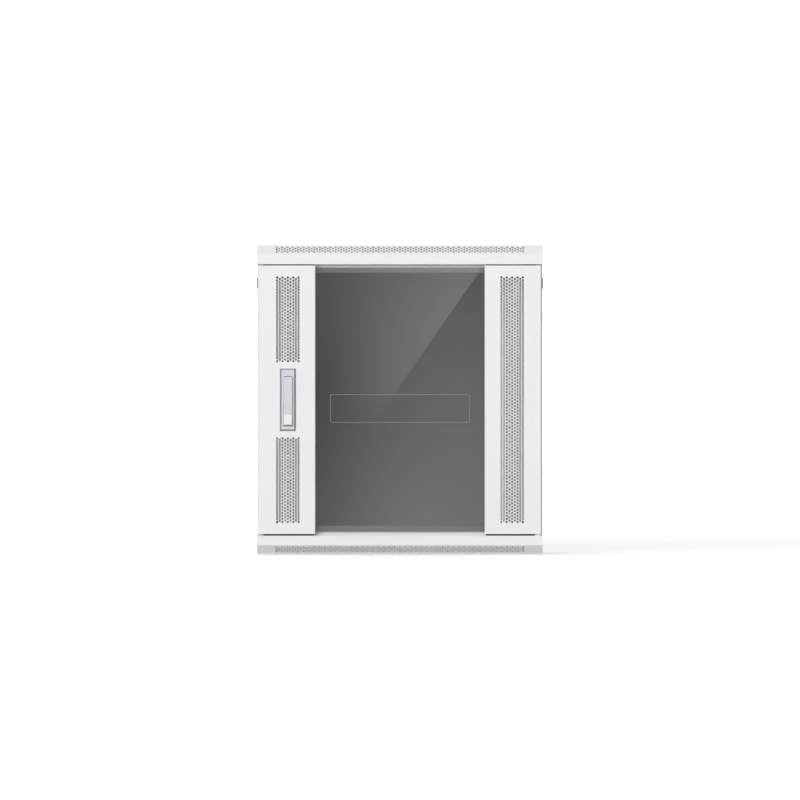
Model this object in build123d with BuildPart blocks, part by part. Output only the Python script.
"""Wall-hung 19-inch network cabinet, 12 rack units high.

Millimetres. The origin is the middle of the base's underside, +X is to the
right of someone facing the door, +Y points back to the wall, +Z points up.
"""
from build123d import *
from math import radians, sin, sqrt
import os

os.makedirs("parts", exist_ok=True)

# ---------------------------------------------------------------- cabinet body
width = 600.0                  # over the roof and base covers
depth = 450.0                  # front of the door to the wall
height = 650.0                 # underside of the base to the top of the roof
cover_height = 40.0            # height of the roof cover and of the base cover
roof_bevel = 18.5              # 45 degree perforated bevel along the roof's front
base_bevel = 18.0              # and the one along the base's front
base_edge = 2.0                # upright strip under the base's bevel
cover_lip = 20.0               # return flange behind each cover's front face
sheet = 1.5                    # sheet of the covers, posts, rails and rear panel
bend = 1.8                     # outside bend radius of the folded sheets

# ----------------------------------------------------------------- perforation
hole_diameter = 4.8
hole_pitch = 6.5               # centre to centre, 60 degree pattern
cover_columns = 47             # tall columns in each cover's bevel
cover_rows = 3
strip_columns = 5              # tall columns in each door strip
strip_rows = 80
handle_rows = 24               # rows left out beside the handle

# ------------------------------------------------------------------------ door
door_side_gap = 3.5            # door edge to the cover's end
door_top_gap = 2.5
door_bottom_gap = 3.5
door_depth = 22.0
door_sheet = 1.2
bend_clearance = 0.2           # loose parts to the inside of a bend
strip_width = 118.8
strip_offset = 1.6             # perforation and handle from the strip's middle, towards the glass
glass_recess = 13.8            # strip face to the back of the strip's glass flange
glass_flange = 18.3
back_lip = 28.0
bond_thickness = 1.0
bond_margin = 2.0
glass_thickness = 4.0
glass_overlap = 15.0           # glass behind each strip
glass_bottom_inset = 4.5       # the glass is shorter than the strips
glass_top_inset = 4.0
glass_corner = 3.0
glass_arris = 0.5

# ---------------------------------------------------------------------- hinges
pin_inset = 6.5                # pin axis from the door's hinge edge
pin_setback = 10.0             # pin axis behind the door's face
pin_radius = 3.0
pin_engagement = 6.0           # pin reach above the roof cover's lip
pin_travel = 9.0               # how far the upper pin pulls down
pin_chamfer = 1.0
pin_head_thickness = 3.0
pin_reach = 4.0                # lower pin above its bracket
bracket_thickness = 3.0
bracket_length = 26.0
guide_drop = 34.0              # upper bracket's top to the lower guide's top
collar_radius = 5.0
collar_thickness = 2.5
collar_drop = 14.0
spring_wire = 0.6              # radius
spring_turns = 6
washer_radius = 7.0
fit_clearance = 0.05           # radial clearance of pins that turn
washer_clearance = 0.1

# -------------------------------------------------------------- frame and rails
frame_setback = 4.5            # door's back to the front of the posts
post_flange = 34.0
post_web = 40.0
panel_thickness = 1.2
panel_stand_in = 1.5           # side panel's face inside the covers' ends
panel_gap = 1.0                # gap above and below the side panels
panel_return = 8.0
return_clearance = 5.0         # upper and lower returns to the posts
panel_clearance = 0.3          # side panel's returns to the posts
web_clearance = 1.3            # side panel's inside to the post web
rear_clearance = 0.5           # rear panel's edge to the side panel's return
header_drop = 18.0             # header and sill lips seen behind the glass
sill_rise = 21.5
lip_return = 14.0
notch_clearance = 2.0          # cross rail's return to the depth braces
brace_height = 40.0
brace_overlap = 12.0           # brace flanges over the posts' flanges
brace_end = 25.0               # braces from the underside and from the roof
keeper_gap = 8.8               # upper brace's lock keeper to the side panel
keeper_drop = 25.0
rack_unit = 44.45
rack_units = 12
rack_opening = 450.0
rack_hole_span = 465.1         # centre to centre across the rails
rack_hole = 9.5                # square
rail_sheet = 2.0
rail_face = 27.0
rail_leg = 35.0
rail_end = 30.0                # rail ends from the underside and from the roof
front_rail_setback = 75.0      # door face to the front rails
rear_rail_setback = 60.0       # wall to the rear rails
rail_slot_length = 60.0
rail_slot_width = 7.0
bolt_radius = 3.0
bolt_head = 10.0               # across flats
bolt_head_height = 4.0
nut_height = 5.0
bolt_hole_clearance = 0.3
bolt_protrusion = 2.0

# ----------------------------------------------------------- openings and mounts
knockout_length = 298.0
knockout_height = 60.0
knockout_z = 307.0
knockout_slit = 0.5
knockout_bridge = 4.0
knockout_bridge_x = 78.5
wall_hole_radius = 5.0
wall_hole_span_x = 500.0
wall_hole_span_z = 500.0
foot_hole_radius = 5.5
foot_span_x = 500.0
foot_span_y = 350.0
entry_length = 260.0
entry_width = 60.0
entry_wall = 40.0              # cable entry's rear edge to the wall
entry_overlap = 10.0
entry_corner = 4.0
fan_span = 105.0
fan_hole_radius = 2.25
fan_x = 95.0
fan_y = 25.0
fan_ring_pitch = 10.0
fan_ring_slot = 5.0
fan_rings = 5
fan_spoke = 7.0
screw_radius = 2.0
screw_head_radius = 3.6
screw_head_height = 1.8
screw_clearance = 0.1
screw_recess = 0.3             # screw end below the cover's face
rivet_radius = 2.0
rivet_head_radius = 4.0
rivet_head_height = 1.2
rivet_head_taper = 25.0
rivet_tail_radius = 3.0
rivet_tail_height = 1.8
rivet_tail_taper = 15.0
rivet_x_inset = 20.0
rivet_z_pitch = 117.0
rivet_rows = 5
earth_x = 200.0
earth_y = -120.0
earth_stud_radius = 3.0
earth_stud_height = 20.0
earth_stud_chamfer = 0.8
earth_washer_radius = 6.5
earth_washer_thickness = 1.6

# ---------------------------------------------------------------------- handle
handle_width = 33.5
handle_height = 131.5
housing_thickness = 4.5
housing_bevel = 3.6
housing_skin = 1.5             # in front of the housing's screw holes
lever_width = 19.0
lever_length = 103.5
lever_thickness = 8.5
lever_top = 48.0               # lever's upper end above the housing's middle
lever_gap = 0.3                # housing to lever
lever_edge = 0.5
lever_end_bevel = 3.0          # across the lever's lower end, for the fingers
lever_skin = 0.8               # over the slot for the spindle's tongue
spindle_radius = 7.0
spindle_clearance = 1.0        # spindle to the strip
shaft_radius = 5.0
tongue_width = 8.0
tongue_radius = 3.2
tongue_clearance = 0.15
lever_pin_radius = 1.5
cover_width = 17.6             # keyhole cover, over its hidden side lips
cover_face_width = 16.6
cover_length = 20.4
cover_bottom = 3.5             # cover above the lever's lower end
cover_lip_thickness = 0.7
cover_face_thickness = 1.9
cover_edge = 0.3
cover_travel = 20.5
track_clearance = 0.1
barrel_radius = 5.0
barrel_depth = 5.6
keyway_length = 6.0
keyway_width = 1.2
backplate_margin_x = 8.0
backplate_margin_z = 4.0
backplate_corner = 2.0
backplate_thickness = 1.5
handle_screw_span = 112.0
cam_engagement = 11.5          # latch cam behind the post's flange
cam_width = 16.0
cam_thickness = 3.0
cam_clearance = 0.5            # cam to the back of the post's flange
buffer_radius = 5.0
buffer_inset = 60.0
buffer_margin = 1.0

# ------------------------------------------------------------ side panel fittings
lock_drop = 77.0               # roof to the side locks
lock_rim_radius = 12.0
lock_rim_proud = 4.0
lock_rim_chamfer = 1.0
lock_body_radius = 9.0
lock_body_reach = 14.0         # behind the side panel
lock_nut_radius = 12.0
lock_nut_thickness = 4.0
lock_barrel_radius = 5.5
lock_barrel_inset = 0.5        # below the rim
lock_barrel_reach = 0.5        # past the body's inner end
side_cam_length = 42.0
side_cam_width = 14.0
side_cam_thickness = 2.5
cam_screw_radius = 4.0
cam_screw_height = 2.5
pull_drop = 75.5               # side lock to the finger pull
pull_height = 27.0
pull_length = 110.0
pull_proud = 2.0
pull_rim = 4.0
pull_corner = 3.0
pull_depth = 12.0
pull_wall = 1.5
pull_clearance = 0.3

# ---------------------------------------------------------------- derived places
front = -depth / 2
wall = depth / 2
end = width / 2
opening_bottom = cover_height
opening_top = height - cover_height
door_bottom = opening_bottom + door_bottom_gap
door_top = opening_top - door_top_gap
door_middle = (door_bottom + door_top) / 2
door_edge = end - door_side_gap
door_back = front + door_depth
strip_inner = door_edge - strip_width
glass_flange_back = front + glass_recess
glass_front = glass_flange_back + bond_thickness
frame_front = door_back + frame_setback
panel_face = end - panel_stand_in
panel_inside = panel_face - panel_thickness
post_outside = panel_inside - web_clearance
post_inside = post_outside - post_flange
rear_panel_back = wall - sheet
frame_back = rear_panel_back - sheet
panel_bottom = opening_bottom + panel_gap
panel_top = opening_top - panel_gap
panel_front = frame_front - panel_clearance - panel_thickness
panel_back = frame_back + panel_clearance + panel_thickness
brace_inside = rack_opening / 2 + rail_face
brace_flange = post_inside + brace_overlap - brace_inside
strip_middle = (strip_inner + door_edge) / 2 - strip_offset
handle_x = -strip_middle
lock_z = height - lock_drop
pull_z = lock_z - pull_drop
hinge_x = door_edge - pin_inset
hinge_y = front + pin_setback
column_pitch = hole_pitch * sin(radians(60))
sides = {"left": -1, "right": 1}


def keep(piece, name):
    """Label a finished piece and write its STEP file."""
    piece.part.label = name
    export_step(piece.part, f"parts/{name}.step")


def folded_section(points, thickness, radius=bend):
    """Section of a folded sheet, given the outside line of its bends, which all turn the same square way."""
    outside = [Vector(*point) for point in points]
    headings = [(after - before).normalized() for before, after in zip(outside, outside[1:])]
    turn = headings[0].cross(headings[1]).Z
    inward = [Vector(-turn * heading.Y, turn * heading.X) * thickness for heading in headings]
    corners = zip(outside[1:-1], inward, inward[1:])
    inside = [corner + before + after for corner, before, after in corners]
    inside = [outside[0] + inward[0], *inside, outside[-1] + inward[-1]]
    with BuildLine() as outline:
        FilletPolyline(*outside, radius=radius)
        FilletPolyline(*inside, radius=radius - thickness)
        Line(outside[0], inside[0])
        Line(outside[-1], inside[-1])
    make_face(outline.edges())


def perforation(plane, columns, rows, depth_through):
    """Cut a 60 degree pattern of round holes: tall columns with one shorter column between each two."""
    with BuildSketch(plane) as outline:
        with GridLocations(2 * column_pitch, hole_pitch, columns, rows):
            Circle(hole_diameter / 2)
        with GridLocations(2 * column_pitch, hole_pitch, columns - 1, rows - 1):
            Circle(hole_diameter / 2)
    extrude(outline.sketch, amount=-depth_through, mode=Mode.SUBTRACT)


def x_plane(x, y, z):
    """Sketch plane facing +X, with its first axis along +Y and its second along +Z."""
    return Plane(origin=(x, y, z), x_dir=(0, 1, 0), z_dir=(1, 0, 0))


def front_plane(x, y, z):
    """Sketch plane facing the viewer (-Y), with its first axis along +X and its second along +Z."""
    return Plane(origin=(x, y, z), x_dir=(1, 0, 0), z_dir=(0, -1, 0))


# =============================================================== covers
def cover_section(inset, bevel, edge, up, folds):
    """Section of a cover, open on the side away from its plate.

    up is +1 for the roof and -1 for the base. The inset moves every wall inwards, the bevel along its
    own normal. folds are the bend radii, from the front face round to the rear flange.
    """
    plate = height if up > 0 else 0.0
    mouth = opening_top if up > 0 else opening_bottom
    slope = inset * (sqrt(2) - 1)
    points = [(front + inset, mouth), (front + inset, plate - up * (edge + bevel + slope))]
    if edge > 0:
        points.append((front + bevel + inset, plate - up * (edge + slope)))
        points.append((front + bevel + inset, plate - up * inset))
    else:
        points.append((front + bevel + slope, plate - up * inset))
    points += [(wall - inset, plate - up * inset), (wall - inset, mouth)]
    with BuildLine() as profile:
        if folds:
            FilletPolyline(*points, radius=folds)
        else:
            Polyline(*points)
        Line(points[-1], points[0])
    make_face(profile.edges())


def cover_shell(bevel, edge, up, folds):
    """Five-sided tray of sheet with a bevelled front edge and a return lip along its mouth."""
    mouth = opening_top if up > 0 else opening_bottom
    with BuildSketch(Plane.YZ) as outline:
        cover_section(0, bevel, edge, up, folds)
    extrude(outline.sketch, amount=end, both=True)
    with BuildSketch(Plane.YZ) as outline:
        cover_section(sheet, bevel, edge, up, None)
    extrude(outline.sketch, amount=end - sheet, both=True, mode=Mode.SUBTRACT)
    with BuildSketch(Plane.XY.offset(mouth)) as outline:
        with Locations((0, front)):
            Rectangle(width, cover_lip, align=(Align.CENTER, Align.MIN))
    extrude(outline.sketch, amount=up * sheet)
    with BuildSketch(Plane.XY.offset(mouth)) as outline:
        with Locations((hinge_x, hinge_y)):
            Circle(pin_radius + fit_clearance)
    extrude(outline.sketch, amount=up * sheet, mode=Mode.SUBTRACT)


entry_y = wall - entry_wall - entry_width / 2
bevel_through = 3 * sheet
fan_grille = 2 * fan_rings * fan_ring_pitch + 2 * fan_ring_slot

with BuildPart() as roof_cover:
    cover_shell(roof_bevel, 0.0, 1, [bend, bend, bend])
    perforation(
        Plane(origin=(0, front + roof_bevel / 2, height - roof_bevel / 2), x_dir=(1, 0, 0), z_dir=(0, -1, 1)),
        cover_columns, cover_rows, bevel_through,
    )
    with BuildSketch(Plane.XY.offset(height)):
        with Locations((0, entry_y)):
            Rectangle(entry_length, entry_width)
            with GridLocations(entry_length + entry_overlap, entry_width + entry_overlap, 2, 2):
                Circle(screw_radius + screw_clearance)
        with Locations((-fan_x, fan_y), (fan_x, fan_y)):
            for ring in range(fan_rings, 0, -1):
                Circle(ring * fan_ring_pitch + fan_ring_slot / 2)
                Circle(ring * fan_ring_pitch - fan_ring_slot / 2, mode=Mode.SUBTRACT)
            Rectangle(fan_grille, fan_spoke, rotation=45, mode=Mode.SUBTRACT)
            Rectangle(fan_grille, fan_spoke, rotation=-45, mode=Mode.SUBTRACT)
            with GridLocations(fan_span, fan_span, 2, 2):
                Circle(fan_hole_radius)
    extrude(amount=-sheet, mode=Mode.SUBTRACT)
keep(roof_cover, "roof_cover")

with BuildPart() as base_cover:
    cover_shell(base_bevel, base_edge, -1, [bend, base_edge / 3, base_edge / 3, bend])
    perforation(
        Plane(
            origin=(0, front + base_bevel / 2, base_edge + base_bevel / 2),
            x_dir=(1, 0, 0), z_dir=(0, -1, -1),
        ),
        cover_columns, cover_rows, bevel_through,
    )
    with BuildSketch(Plane.XY):
        with Locations((0, entry_y)):
            Rectangle(entry_length, entry_width)
            with GridLocations(entry_length + entry_overlap, entry_width + entry_overlap, 2, 2):
                Circle(screw_radius + screw_clearance)
        with GridLocations(foot_span_x, foot_span_y, 2, 2):
            Circle(foot_hole_radius)
    extrude(amount=sheet, mode=Mode.SUBTRACT)
keep(base_cover, "base_cover")


def entry_cover(face, up):
    """Blanking plate over a cable entry, on the inside of a cover's plate."""
    with BuildSketch(Plane.XY.offset(face)) as outline:
        with Locations((0, entry_y)):
            RectangleRounded(entry_length + 2 * entry_overlap, entry_width + 2 * entry_overlap, entry_corner)
            with GridLocations(entry_length + entry_overlap, entry_width + entry_overlap, 2, 2):
                Circle(screw_radius + screw_clearance, mode=Mode.SUBTRACT)
    extrude(outline.sketch, amount=up * sheet)


with BuildPart() as roof_entry_cover:
    entry_cover(height - sheet, -1)
keep(roof_entry_cover, "roof_entry_cover")

with BuildPart() as base_entry_cover:
    entry_cover(sheet, 1)
keep(base_entry_cover, "base_entry_cover")

with BuildPart() as entry_cover_screws:
    for face, up in ((height - 2 * sheet, -1), (2 * sheet, 1)):
        with BuildSketch(Plane.XY.offset(face)):
            with Locations((0, entry_y)):
                with GridLocations(entry_length + entry_overlap, entry_width + entry_overlap, 2, 2):
                    Circle(screw_head_radius)
        extrude(amount=up * screw_head_height)
        with BuildSketch(Plane.XY.offset(face)):
            with Locations((0, entry_y)):
                with GridLocations(entry_length + entry_overlap, entry_width + entry_overlap, 2, 2):
                    Circle(screw_radius)
        extrude(amount=-up * (2 * sheet - screw_recess))
keep(entry_cover_screws, "entry_cover_screws")

# ======================================================= posts and cross rails
inner_bottom = sheet
inner_height = height - 2 * sheet


def corner_post(side, face, inward):
    """Angle-section post. Its flange lies in the front or the rear plane and its web runs fore and aft."""
    with BuildSketch(Plane.XY.offset(inner_bottom)) as outline:
        folded_section(
            [
                (side * post_inside, face),
                (side * post_outside, face),
                (side * post_outside, face + inward * post_web),
            ],
            sheet,
        )
    extrude(outline.sketch, amount=inner_height)


for side_name, side in sides.items():
    with BuildPart() as front_post:
        corner_post(side, frame_front, 1)
    keep(front_post, f"front_post_{side_name}")
    with BuildPart() as rear_post:
        corner_post(side, frame_back, -1)
        with BuildSketch(front_plane(0, frame_back, height / 2)):
            with Locations((side * (end - rivet_x_inset), 0)):
                with GridLocations(1, rivet_z_pitch, 1, rivet_rows):
                    Circle(rivet_radius)
        extrude(amount=sheet, mode=Mode.SUBTRACT)
    keep(rear_post, f"rear_post_{side_name}")


def brace_notches():
    """Cut a cross rail's return back at both ends, where the depth braces pass it."""
    with BuildSketch(front_plane(0, frame_front + sheet, height / 2)) as outline:
        with GridLocations(2 * brace_inside + brace_flange, 1, 2, 1):
            Rectangle(brace_flange + 2 * notch_clearance, height)
    extrude(outline.sketch, amount=-lip_return, mode=Mode.SUBTRACT)


with BuildPart() as header_rail:
    with BuildSketch(Plane.YZ):
        folded_section(
            [
                (frame_front, height - sheet),
                (frame_front, opening_top - header_drop),
                (frame_front + lip_return, opening_top - header_drop),
            ],
            sheet,
        )
    extrude(amount=post_inside, both=True)
    brace_notches()
keep(header_rail, "header_rail")

with BuildPart() as sill_rail:
    with BuildSketch(Plane.YZ):
        folded_section(
            [
                (frame_front, sheet),
                (frame_front, opening_bottom + sill_rise),
                (frame_front + lip_return, opening_bottom + sill_rise),
            ],
            sheet,
        )
    extrude(amount=post_inside, both=True)
    brace_notches()
keep(sill_rail, "sill_rail")

# ================================================================== rear panel
with BuildPart() as rear_panel:
    with BuildSketch(front_plane(0, rear_panel_back, height / 2)):
        Rectangle(2 * (panel_face - panel_return - rear_clearance), inner_height)
        with GridLocations(wall_hole_span_x, wall_hole_span_z, 2, 2):
            Circle(wall_hole_radius, mode=Mode.SUBTRACT)
        with GridLocations(width - 2 * rivet_x_inset, rivet_z_pitch, 2, rivet_rows):
            Circle(rivet_radius, mode=Mode.SUBTRACT)
    extrude(amount=sheet)
    with BuildSketch(front_plane(0, rear_panel_back, knockout_z)):
        Rectangle(knockout_length, knockout_height)
        Rectangle(
            knockout_length - 2 * knockout_slit, knockout_height - 2 * knockout_slit, mode=Mode.SUBTRACT
        )
        with Locations((-knockout_bridge_x, 0), (knockout_bridge_x, 0)):
            Rectangle(knockout_bridge, knockout_height, mode=Mode.SUBTRACT)
        Rectangle(knockout_length, knockout_bridge, mode=Mode.SUBTRACT)
    extrude(amount=sheet, mode=Mode.SUBTRACT)
keep(rear_panel, "rear_panel")

with BuildPart() as rear_panel_rivets:
    stack = sheet + sheet
    with BuildSketch(front_plane(0, rear_panel_back, height / 2)):
        with GridLocations(width - 2 * rivet_x_inset, rivet_z_pitch, 2, rivet_rows):
            Circle(rivet_radius)
    extrude(amount=stack)
    with BuildSketch(front_plane(0, rear_panel_back, height / 2)):
        with GridLocations(width - 2 * rivet_x_inset, rivet_z_pitch, 2, rivet_rows):
            Circle(rivet_head_radius)
    extrude(amount=-rivet_head_height, taper=rivet_head_taper)
    with BuildSketch(front_plane(0, rear_panel_back - stack, height / 2)):
        with GridLocations(width - 2 * rivet_x_inset, rivet_z_pitch, 2, rivet_rows):
            Circle(rivet_tail_radius)
    extrude(amount=rivet_tail_height, taper=rivet_tail_taper)
keep(rear_panel_rivets, "rear_panel_rivets")

# ==================================================== braces and mounting rails
brace_front = frame_front + sheet
brace_length = frame_back - sheet - brace_front
upper_brace_z = height - brace_end - brace_height / 2
lower_brace_z = brace_end + brace_height / 2
front_rail_face = front + front_rail_setback
rear_rail_face = wall - rear_rail_setback
front_bolt_y = front_rail_face + rail_leg / 2
rear_bolt_y = rear_rail_face - rail_leg / 2
keeper_x = panel_inside - keeper_gap


def depth_brace(side, middle, carries_keeper):
    """Channel from the front post to the rear post, with slots that let the mounting rails move in depth."""
    low = middle - brace_height / 2
    high = middle + brace_height / 2
    points = [(side * (brace_inside + brace_flange), low), (side * brace_inside, low)]
    points.append((side * brace_inside, high))
    if carries_keeper:
        points += [(side * keeper_x, high), (side * keeper_x, high - keeper_drop)]
    else:
        points.append((side * (brace_inside + brace_flange), high))
    with BuildSketch(front_plane(0, brace_front, 0)) as outline:
        folded_section(points, sheet)
    extrude(outline.sketch, amount=-brace_length)
    with BuildSketch(x_plane(side * brace_inside, 0, middle)) as outline:
        with Locations((front_bolt_y, 0), (rear_bolt_y, 0)):
            SlotOverall(rail_slot_length, rail_slot_width)
    extrude(outline.sketch, amount=side * sheet, mode=Mode.SUBTRACT)


def mounting_rail(side, face, inward):
    """Square-holed 19-inch rail: a face across the bay's edge and a leg along the brace."""
    leg_x = side * (brace_inside - rail_sheet / 2)
    with BuildSketch(Plane.XY.offset(rail_end)) as outline:
        folded_section(
            [
                (side * rack_opening / 2, face),
                (side * brace_inside, face),
                (side * brace_inside, face + inward * rail_leg),
            ],
            rail_sheet,
            radius=2 * rail_sheet,
        )
    extrude(outline.sketch, amount=height - 2 * rail_end)
    with BuildSketch(front_plane(side * rack_hole_span / 2, face, height / 2)) as outline:
        for unit in range(rack_units):
            unit_bottom = (unit - rack_units / 2) * rack_unit
            with Locations(*[(0, unit_bottom + rack_unit * step) for step in (1 / 7, 1 / 2, 6 / 7)]):
                Rectangle(rack_hole, rack_hole)
    extrude(outline.sketch, amount=-inward * rail_sheet, mode=Mode.SUBTRACT)
    bolt_y = face + inward * rail_leg / 2
    for middle in (lower_brace_z, upper_brace_z):
        with BuildSketch(x_plane(leg_x, bolt_y, middle)) as outline:
            Circle(bolt_radius + bolt_hole_clearance)
        extrude(outline.sketch, amount=rail_sheet, both=True, mode=Mode.SUBTRACT)


for side_name, side in sides.items():
    with BuildPart() as upper_brace:
        depth_brace(side, upper_brace_z, True)
    keep(upper_brace, f"upper_brace_{side_name}")
    with BuildPart() as lower_brace:
        depth_brace(side, lower_brace_z, False)
    keep(lower_brace, f"lower_brace_{side_name}")
    with BuildPart() as front_rail:
        mounting_rail(side, front_rail_face, 1)
    keep(front_rail, f"rack_rail_front_{side_name}")
    with BuildPart() as rear_rail:
        mounting_rail(side, rear_rail_face, -1)
    keep(rear_rail, f"rack_rail_rear_{side_name}")

bolt_places = [
    (bolt_y, middle) for bolt_y in (front_bolt_y, rear_bolt_y) for middle in (lower_brace_z, upper_brace_z)
]
with BuildPart() as rail_bolts:
    for side in sides.values():
        with BuildSketch(x_plane(side * (brace_inside - rail_sheet), 0, 0)):
            with Locations(*bolt_places):
                RegularPolygon(bolt_head / 2, 6, major_radius=False)
        extrude(amount=-side * bolt_head_height)
        with BuildSketch(x_plane(side * (brace_inside - rail_sheet), 0, 0)):
            with Locations(*bolt_places):
                Circle(bolt_radius)
        extrude(amount=side * (rail_sheet + sheet + nut_height + bolt_protrusion))
keep(rail_bolts, "rail_bolts")

with BuildPart() as rail_nuts:
    for side in sides.values():
        with BuildSketch(x_plane(side * (brace_inside + sheet), 0, 0)):
            with Locations(*bolt_places):
                RegularPolygon(bolt_head / 2, 6, major_radius=False)
                Circle(bolt_radius, mode=Mode.SUBTRACT)
        extrude(amount=side * nut_height)
keep(rail_nuts, "rail_nuts")

# ================================================================== earth stud
with BuildPart() as earth_stud:
    with BuildSketch(Plane.XY.offset(sheet)):
        with Locations((earth_x, earth_y)):
            Circle(earth_stud_radius)
    extrude(amount=earth_stud_height)
    chamfer(earth_stud.faces().sort_by(Axis.Z)[-1].edges(), earth_stud_chamfer)
keep(earth_stud, "earth_stud")

with BuildPart() as earth_washers:
    washer_stack = (sheet, sheet + earth_washer_thickness + nut_height)
    for level in washer_stack:
        with BuildSketch(Plane.XY.offset(level)):
            with Locations((earth_x, earth_y)):
                Circle(earth_washer_radius)
                Circle(earth_stud_radius, mode=Mode.SUBTRACT)
        extrude(amount=earth_washer_thickness)
keep(earth_washers, "earth_washers")

with BuildPart() as earth_nuts:
    for level in (washer_stack[0] + earth_washer_thickness, washer_stack[1] + earth_washer_thickness):
        with BuildSketch(Plane.XY.offset(level)):
            with Locations((earth_x, earth_y)):
                RegularPolygon(bolt_head / 2, 6, major_radius=False)
                Circle(earth_stud_radius, mode=Mode.SUBTRACT)
        extrude(amount=nut_height)
keep(earth_nuts, "earth_nuts")

# ======================================================================== door

def door_strip(side):
    """Folded steel strip of the door: glass flange, inner return, perforated face, edge and back lip."""
    with BuildSketch(Plane.XY.offset(door_bottom)) as outline:
        folded_section(
            [
                (side * (strip_inner + glass_flange), glass_flange_back),
                (side * strip_inner, glass_flange_back),
                (side * strip_inner, front),
                (side * door_edge, front),
                (side * door_edge, door_back),
                (side * (door_edge - back_lip), door_back),
            ],
            door_sheet,
        )
    extrude(outline.sketch, amount=door_top - door_bottom)


strip_through = 3 * door_sheet
with BuildPart() as door_strip_right:
    door_strip(1)
    perforation(front_plane(strip_middle, front, door_middle), strip_columns, strip_rows, strip_through)
keep(door_strip_right, "door_strip_right")

block_rows = (strip_rows - handle_rows) // 2
block_z = (strip_rows - block_rows) / 2 * hole_pitch
spindle_z = door_middle + lever_top - lever_thickness / 2
with BuildPart() as door_strip_left:
    door_strip(-1)
    for block_side in (-1, 1):
        perforation(
            front_plane(-strip_middle, front, door_middle + block_side * block_z),
            strip_columns, block_rows, strip_through,
        )
    with BuildSketch(front_plane(handle_x, front, door_middle)):
        with Locations((0, spindle_z - door_middle)):
            Circle(spindle_radius + spindle_clearance)
        with GridLocations(1, handle_screw_span, 1, 2):
            Circle(screw_radius + screw_clearance)
    extrude(amount=-strip_through, mode=Mode.SUBTRACT)
keep(door_strip_left, "door_strip_left")

glass_half = strip_inner + glass_overlap
glass_bottom = door_bottom + glass_bottom_inset
glass_top = door_top - glass_top_inset
with BuildPart() as door_glass:
    with BuildSketch(front_plane(0, glass_front, (glass_bottom + glass_top) / 2)):
        RectangleRounded(2 * glass_half, glass_top - glass_bottom, glass_corner)
    extrude(amount=-glass_thickness)
    chamfer(door_glass.faces().sort_by(Axis.Y)[0].outer_wire().edges(), glass_arris)
keep(door_glass, "door_glass")

with BuildPart() as glass_bond:
    bond_width = glass_overlap - 2 * bond_margin
    bond_height = glass_top - glass_bottom - 2 * bond_margin
    with BuildSketch(front_plane(0, glass_flange_back, (glass_bottom + glass_top) / 2)):
        with GridLocations(2 * (strip_inner + glass_overlap / 2), 1, 2, 1):
            Rectangle(bond_width, bond_height)
    extrude(amount=-bond_thickness)
keep(glass_bond, "glass_bond")

# ---------------------------------------------------------------------- hinges
inside_edge = door_edge - door_sheet
bracket_front = front + door_sheet
bracket_back = door_back - door_sheet
bracket_corner = bend - door_sheet + bend_clearance


def hinge_plate(bottom):
    """Flat plate inside the hinge strip, bored for the hinge pin."""
    with BuildSketch(Plane.XY.offset(bottom)) as outline:
        with Locations((inside_edge - bracket_length / 2, (bracket_front + bracket_back) / 2)):
            RectangleRounded(bracket_length, bracket_back - bracket_front, bracket_corner)
        with Locations((hinge_x, hinge_y)):
            Circle(pin_radius + fit_clearance, mode=Mode.SUBTRACT)
    extrude(outline.sketch, amount=bracket_thickness)


with BuildPart() as hinge_bracket_lower:
    hinge_plate(door_bottom)
keep(hinge_bracket_lower, "hinge_bracket_lower")

guide_top = door_top - guide_drop
with BuildPart() as hinge_bracket_upper:
    hinge_plate(door_top - bracket_thickness)
    hinge_plate(guide_top - bracket_thickness)
    with BuildSketch(Plane.XY.offset(guide_top)):
        with Locations((inside_edge - bracket_length, (bracket_front + bracket_back) / 2)):
            Rectangle(
                bracket_thickness, (bracket_back - bracket_front) / 2, align=(Align.MIN, Align.CENTER)
            )
    extrude(amount=guide_drop - bracket_thickness)
keep(hinge_bracket_upper, "hinge_bracket_upper")

pin_top = opening_top + sheet + pin_engagement
collar_z = door_top - collar_drop
with BuildPart() as hinge_pin_upper:
    with BuildSketch(Plane.XY.offset(guide_top - bracket_thickness - pin_travel)):
        with Locations((hinge_x, hinge_y)):
            Circle(pin_radius)
    extrude(amount=pin_top - (guide_top - bracket_thickness - pin_travel))
    chamfer(hinge_pin_upper.faces().sort_by(Axis.Z)[-1].edges(), pin_chamfer)
    with BuildSketch(Plane.XY.offset(collar_z - collar_thickness)):
        with Locations((hinge_x, hinge_y)):
            Circle(collar_radius)
    extrude(amount=collar_thickness)
keep(hinge_pin_upper, "hinge_pin_upper")

spring_radius = pin_radius + 2 * spring_wire
spring_low = guide_top + spring_wire
spring_high = collar_z - collar_thickness - spring_wire
with BuildPart() as hinge_spring:
    with BuildLine() as coil:
        Helix(
            pitch=(spring_high - spring_low) / spring_turns,
            height=spring_high - spring_low,
            radius=spring_radius,
            center=(hinge_x, hinge_y, spring_low),
        )
    with BuildSketch(Plane(origin=coil.line @ 0, z_dir=coil.line % 0)):
        Circle(spring_wire)
    sweep()
keep(hinge_spring, "hinge_spring")

with BuildPart() as hinge_pin_lower:
    pin_foot = opening_bottom - sheet - pin_head_thickness
    with BuildSketch(Plane.XY.offset(pin_foot)):
        with Locations((hinge_x, hinge_y)):
            Circle(pin_radius)
    extrude(amount=door_bottom + bracket_thickness + pin_reach - pin_foot)
    chamfer(hinge_pin_lower.faces().sort_by(Axis.Z)[-1].edges(), pin_chamfer)
    with BuildSketch(Plane.XY.offset(pin_foot)):
        with Locations((hinge_x, hinge_y)):
            Circle(collar_radius)
    extrude(amount=pin_head_thickness)
keep(hinge_pin_lower, "hinge_pin_lower")

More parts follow.
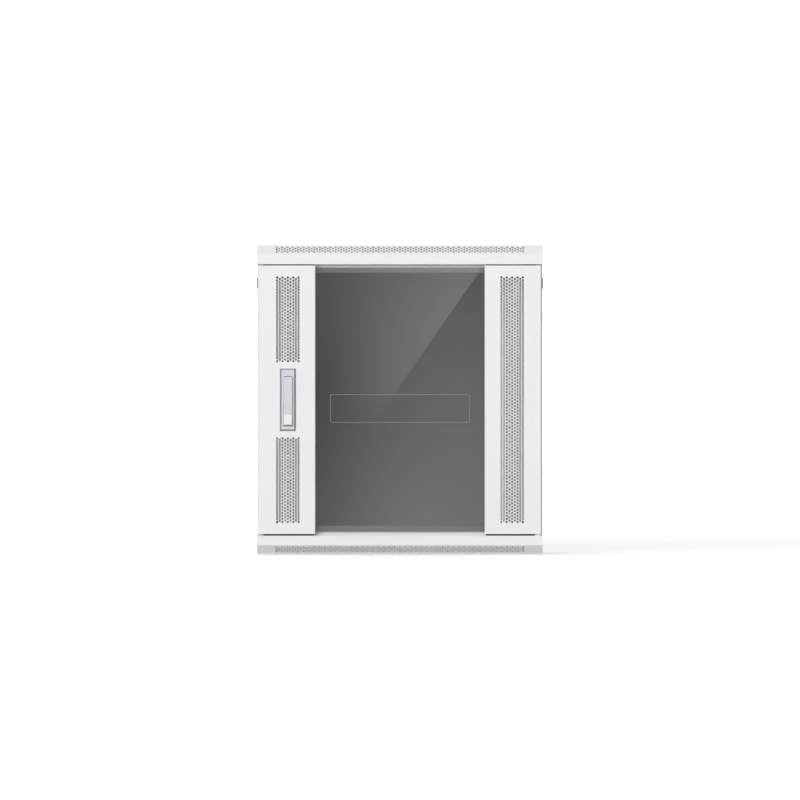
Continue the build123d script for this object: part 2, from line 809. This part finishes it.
with BuildPart() as hinge_washer:
    with BuildSketch(Plane.XY.offset(opening_bottom)):
        with Locations((hinge_x, hinge_y)):
            Circle(washer_radius)
            Circle(pin_radius + fit_clearance, mode=Mode.SUBTRACT)
    extrude(amount=door_bottom_gap - washer_clearance)
keep(hinge_washer, "hinge_washer")

buffer_span_x = 2 * (door_edge - back_lip + buffer_radius + buffer_margin)
with BuildPart() as door_buffers:
    with BuildSketch(front_plane(0, door_back, door_middle)):
        with GridLocations(buffer_span_x, door_top - door_bottom - 2 * buffer_inset, 2, 2):
            Circle(buffer_radius)
    extrude(amount=-(frame_setback - panel_clearance))
keep(door_buffers, "door_buffers")

# =============================================================== swing handle
plateau = front - housing_thickness
lever_back = plateau - lever_gap
lever_front = lever_back - lever_thickness
lever_axis_y = (lever_back + lever_front) / 2
lever_head = spindle_z + lever_thickness / 2
lever_bottom = lever_head - lever_length
barrel_z = lever_bottom + cover_bottom + cover_length / 2

with BuildPart() as handle_housing:
    with BuildSketch(front_plane(handle_x, front, door_middle)):
        Rectangle(handle_width, handle_height)
    extrude(amount=housing_thickness - housing_bevel)
    with BuildSketch(front_plane(handle_x, front - housing_thickness + housing_bevel, door_middle)):
        Rectangle(handle_width, handle_height)
    with BuildSketch(front_plane(handle_x, plateau, door_middle)):
        Rectangle(handle_width - 2 * housing_bevel, handle_height - 2 * housing_bevel)
    loft()
    with BuildSketch(front_plane(handle_x, plateau, spindle_z)):
        Circle(spindle_radius + fit_clearance)
    extrude(amount=-housing_thickness, mode=Mode.SUBTRACT)
    with BuildSketch(front_plane(handle_x, front, door_middle)):
        with GridLocations(1, handle_screw_span, 1, 2):
            Circle(screw_radius)
    extrude(amount=housing_thickness - housing_skin, mode=Mode.SUBTRACT)
keep(handle_housing, "handle_housing")

backplate_front = front + door_sheet
with BuildPart() as handle_backplate:
    with BuildSketch(front_plane(handle_x, backplate_front, door_middle)):
        RectangleRounded(
            handle_width - backplate_margin_x, handle_height - backplate_margin_z, backplate_corner
        )
        with Locations((0, spindle_z - door_middle)):
            Circle(shaft_radius + fit_clearance, mode=Mode.SUBTRACT)
        with GridLocations(1, handle_screw_span, 1, 2):
            Circle(screw_radius + screw_clearance, mode=Mode.SUBTRACT)
    extrude(amount=-backplate_thickness)
keep(handle_backplate, "handle_backplate")

with BuildPart() as handle_screws:
    with BuildSketch(front_plane(handle_x, backplate_front + backplate_thickness, door_middle)):
        with GridLocations(1, handle_screw_span, 1, 2):
            Circle(screw_head_radius)
    extrude(amount=-screw_head_height)
    with BuildSketch(front_plane(handle_x, backplate_front + backplate_thickness, door_middle)):
        with GridLocations(1, handle_screw_span, 1, 2):
            Circle(screw_radius)
    extrude(amount=backplate_thickness + door_sheet + housing_thickness - housing_skin)
keep(handle_screws, "handle_screws")

# ----------------------------------------------------- parts that turn with the lever
cam_front = frame_front + sheet + cam_clearance
cam_length = post_inside + cam_engagement + handle_x
with BuildPart() as handle_spindle:
    with BuildSketch(front_plane(handle_x, front, spindle_z)):
        Circle(spindle_radius)
    extrude(amount=housing_thickness)
    with BuildSketch(front_plane(handle_x, front, spindle_z)):
        Circle(shaft_radius)
    extrude(amount=-(cam_front - front))
    with BuildSketch(x_plane(handle_x - tongue_width / 2, 0, 0)):
        with Locations(((plateau + lever_axis_y) / 2, spindle_z)):
            Rectangle(abs(lever_axis_y - plateau), 2 * tongue_radius)
        with Locations((lever_axis_y, spindle_z)):
            Circle(tongue_radius)
            Circle(lever_pin_radius, mode=Mode.SUBTRACT)
    extrude(amount=tongue_width)
keep(handle_spindle, "handle_spindle")

with BuildPart() as latch_cam:
    with BuildSketch(front_plane(handle_x, cam_front, spindle_z)):
        with Locations((-cam_length / 2, 0)):
            SlotOverall(cam_length + cam_width, cam_width)
        Circle(screw_radius, mode=Mode.SUBTRACT)
    extrude(amount=-cam_thickness)
keep(latch_cam, "latch_cam")

with BuildPart() as latch_cam_screw:
    with BuildSketch(front_plane(handle_x, cam_front + cam_thickness, spindle_z)):
        RegularPolygon(bolt_head / 2, 6, major_radius=False)
    extrude(amount=-bolt_head_height)
    with BuildSketch(front_plane(handle_x, cam_front + cam_thickness, spindle_z)):
        Circle(screw_radius)
    extrude(amount=cam_thickness)
keep(latch_cam_screw, "latch_cam_screw")

# ------------------------------------------------------------------------- lever
track_width = cover_width + 2 * track_clearance
track_floor = lever_front + cover_face_thickness
track_bottom = lever_bottom + cover_bottom - track_clearance
track_length = cover_length + cover_travel + 2 * track_clearance
with BuildPart() as handle_lever:
    with BuildSketch(x_plane(handle_x - lever_width / 2, 0, 0)):
        with BuildLine():
            Line((lever_back, lever_bottom), (lever_back, spindle_z))
            RadiusArc((lever_back, spindle_z), (lever_axis_y, lever_head), -lever_thickness / 2)
            Polyline(
                (lever_axis_y, lever_head),
                (lever_front, lever_head),
                (lever_front, lever_bottom + lever_end_bevel),
                (lever_front + lever_end_bevel, lever_bottom),
                (lever_back, lever_bottom),
            )
        make_face()
    extrude(amount=lever_width)
    chamfer(handle_lever.edges().filter_by(Axis.Z).group_by(Axis.Y)[0], lever_edge)
    with BuildSketch(x_plane(handle_x - tongue_width / 2 - tongue_clearance, 0, 0)):
        with Locations((lever_back, spindle_z - tongue_radius - 2 * tongue_clearance)):
            Rectangle(lever_thickness - lever_skin, lever_thickness, align=(Align.MAX, Align.MIN))
    extrude(amount=tongue_width + 2 * tongue_clearance, mode=Mode.SUBTRACT)
    with BuildSketch(x_plane(handle_x - lever_width / 2, 0, 0)):
        with Locations((lever_axis_y, spindle_z)):
            Circle(lever_pin_radius)
    extrude(amount=lever_width, mode=Mode.SUBTRACT)
    with BuildSketch(front_plane(handle_x, track_floor, track_bottom)):
        Rectangle(
            cover_face_width + 2 * track_clearance, track_length, align=(Align.CENTER, Align.MIN)
        )
    extrude(amount=lever_thickness, mode=Mode.SUBTRACT)
    with BuildSketch(front_plane(handle_x, track_floor, track_bottom)):
        Rectangle(track_width, track_length, align=(Align.CENTER, Align.MIN))
    extrude(amount=cover_lip_thickness + track_clearance, mode=Mode.SUBTRACT)
    with BuildSketch(front_plane(handle_x, track_floor, barrel_z)):
        Circle(barrel_radius + fit_clearance)
    extrude(amount=-barrel_depth, mode=Mode.SUBTRACT)
keep(handle_lever, "handle_lever")

with BuildPart() as lever_pin:
    with BuildSketch(x_plane(handle_x - lever_width / 2, lever_axis_y, spindle_z)):
        Circle(lever_pin_radius)
    extrude(amount=lever_width)
keep(lever_pin, "lever_pin")

with BuildPart() as keyhole_cover:
    cover_back = track_floor - track_clearance / 2
    with BuildSketch(front_plane(handle_x, cover_back, track_bottom + track_clearance)):
        Rectangle(cover_face_width, cover_length, align=(Align.CENTER, Align.MIN))
    extrude(amount=cover_face_thickness)
    chamfer(keyhole_cover.faces().sort_by(Axis.Y)[0].edges(), cover_edge)
    with BuildSketch(front_plane(handle_x, cover_back, track_bottom + track_clearance)):
        Rectangle(cover_width, cover_length, align=(Align.CENTER, Align.MIN))
    extrude(amount=cover_lip_thickness)
keep(keyhole_cover, "keyhole_cover")

with BuildPart() as lever_lock_barrel:
    with BuildSketch(front_plane(handle_x, track_floor, barrel_z)):
        Circle(barrel_radius)
        Rectangle(keyway_width, keyway_length, mode=Mode.SUBTRACT)
    extrude(amount=-barrel_depth)
keep(lever_lock_barrel, "lever_lock_barrel")

# ================================================================= side panels
lock_inner_end = panel_inside - lock_body_reach


def side_panel(side):
    """Lift-off side panel with a return along each edge; the upper and lower returns stop at the posts."""
    with BuildSketch(Plane.XY.offset(panel_bottom)) as outline:
        folded_section(
            [
                (side * (panel_face - panel_return), panel_front),
                (side * panel_face, panel_front),
                (side * panel_face, panel_back),
                (side * (panel_face - panel_return), panel_back),
            ],
            panel_thickness,
        )
    extrude(outline.sketch, amount=panel_top - panel_bottom)
    post_clear = post_web + return_clearance
    return_front = frame_front + post_clear
    return_back = frame_back - post_clear
    for edge, up in ((panel_bottom, 1), (panel_top, -1)):
        with BuildSketch(Plane.XY.offset(edge)) as outline:
            with Locations((side * (panel_face - panel_return / 2), (return_front + return_back) / 2)):
                Rectangle(panel_return, return_back - return_front)
        extrude(outline.sketch, amount=up * panel_thickness)
    with BuildSketch(x_plane(side * panel_inside, 0, 0)) as outline:
        with Locations((0, lock_z)):
            Circle(lock_body_radius + fit_clearance)
        with Locations((0, pull_z)):
            Rectangle(pull_length - 2 * pull_rim, pull_height - 2 * pull_rim)
    extrude(outline.sketch, amount=side * 2 * panel_thickness, mode=Mode.SUBTRACT)


def finger_pull(side):
    """Flush pull: a proud rim and a cup behind the panel."""
    cup_length = pull_length - 2 * pull_rim - 2 * pull_clearance
    cup_height = pull_height - 2 * pull_rim - 2 * pull_clearance
    with BuildSketch(x_plane(side * panel_face, 0, pull_z)) as outline:
        RectangleRounded(pull_length, pull_height, pull_corner)
    extrude(outline.sketch, amount=side * pull_proud)
    with BuildSketch(x_plane(side * panel_face, 0, pull_z)) as outline:
        Rectangle(cup_length, cup_height)
    extrude(outline.sketch, amount=-side * pull_depth)
    with BuildSketch(x_plane(side * (panel_face + pull_proud), 0, pull_z)) as outline:
        Rectangle(cup_length - 2 * pull_wall, cup_height - 2 * pull_wall)
    extrude(outline.sketch, amount=-side * (pull_depth + pull_proud - pull_wall), mode=Mode.SUBTRACT)


for side_name, side in sides.items():
    with BuildPart() as panel:
        side_panel(side)
    keep(panel, f"side_panel_{side_name}")

    with BuildPart() as pull:
        finger_pull(side)
    keep(pull, f"finger_pull_{side_name}")

    with BuildPart() as lock_body:
        with BuildSketch(x_plane(side * panel_face, 0, lock_z)):
            Circle(lock_rim_radius)
        extrude(amount=side * lock_rim_proud)
        outer_face = lock_body.faces().sort_by(Axis.X)[-1 if side > 0 else 0]
        chamfer(outer_face.edges(), lock_rim_chamfer)
        with BuildSketch(x_plane(side * lock_inner_end, 0, lock_z)):
            Circle(lock_body_radius)
        extrude(amount=side * (lock_body_reach + panel_thickness))
        with BuildSketch(x_plane(side * lock_inner_end, 0, lock_z)):
            Circle(lock_barrel_radius + fit_clearance)
        extrude(amount=side * width, mode=Mode.SUBTRACT)
    keep(lock_body, f"side_lock_body_{side_name}")

    with BuildPart() as lock_nut:
        with BuildSketch(x_plane(side * panel_inside, 0, lock_z)):
            RegularPolygon(lock_nut_radius, 6)
            Circle(lock_body_radius, mode=Mode.SUBTRACT)
        extrude(amount=-side * lock_nut_thickness)
    keep(lock_nut, f"side_lock_nut_{side_name}")

    with BuildPart() as lock_barrel:
        barrel_face = panel_face + lock_rim_proud - lock_barrel_inset
        barrel_end = lock_inner_end - lock_barrel_reach
        with BuildSketch(x_plane(side * barrel_end, 0, lock_z)):
            Circle(lock_barrel_radius)
        extrude(amount=side * (barrel_face - barrel_end))
        with BuildSketch(x_plane(side * barrel_face, 0, lock_z)):
            Rectangle(keyway_width, keyway_length)
        extrude(amount=-side * barrel_depth, mode=Mode.SUBTRACT)
    keep(lock_barrel, f"side_lock_barrel_{side_name}")

    with BuildPart() as side_cam:
        with BuildSketch(x_plane(side * barrel_end, 0, lock_z)):
            with Locations((side_cam_length / 2 - side_cam_width / 4, 0)):
                SlotOverall(side_cam_length + side_cam_width / 2, side_cam_width)
        extrude(amount=-side * side_cam_thickness)
        with BuildSketch(x_plane(side * (barrel_end - side_cam_thickness), 0, lock_z)):
            RegularPolygon(cam_screw_radius, 6)
        extrude(amount=-side * cam_screw_height)
    keep(side_cam, f"side_lock_cam_{side_name}")
